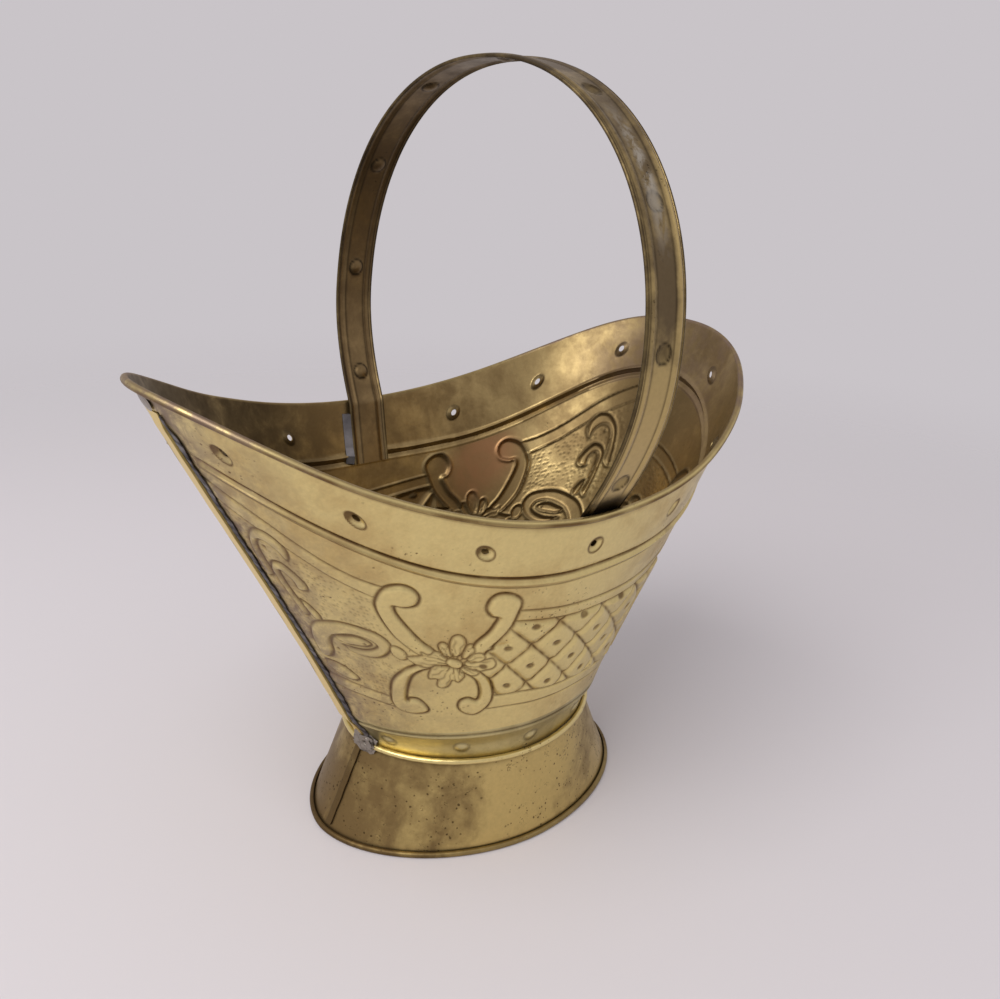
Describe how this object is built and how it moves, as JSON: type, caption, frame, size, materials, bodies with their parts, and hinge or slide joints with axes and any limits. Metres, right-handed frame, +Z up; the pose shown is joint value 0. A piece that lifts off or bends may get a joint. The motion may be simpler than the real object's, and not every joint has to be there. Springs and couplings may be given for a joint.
{
  "type": "coal scuttle",
  "caption": "Helmet-shaped sheet-brass coal scuttle: flaring embossed bowl with a pointed pouring spout, flared oval foot and fixed arched strap handle.",
  "frame": {"origin": "on the floor, under the middle of the whole scuttle's box", "axes": "-X towards the pouring spout, +X towards the back, +Y across towards one side of the handle, +Z up from the floor"},
  "size_m": [0.2742, 0.2012, 0.32],
  "materials": {
    "brass": "worn, softly polished antique brass",
    "dark_brass": "tarnished, mottled brown brass",
    "solder": "dull grey soft solder",
    "wire": "plain iron wire"
  },
  "bodies": {
    "root": {"body_sheet": "brass", "rim_wire": "wire", "front_seam_fold": "brass", "front_seam_solder": "solder", "spout_tip_solder": "solder", "floor_plate": "dark_brass", "floor_solder_ring": "solder", "neck_bead": "brass", "foot_skirt": "dark_brass", "foot_hem_wire": "wire", "foot_seam_fold": "dark_brass", "handle_strap": "dark_brass", "handle_solder_near": "solder", "handle_solder_far": "solder"}
  },
  "joints": []
}
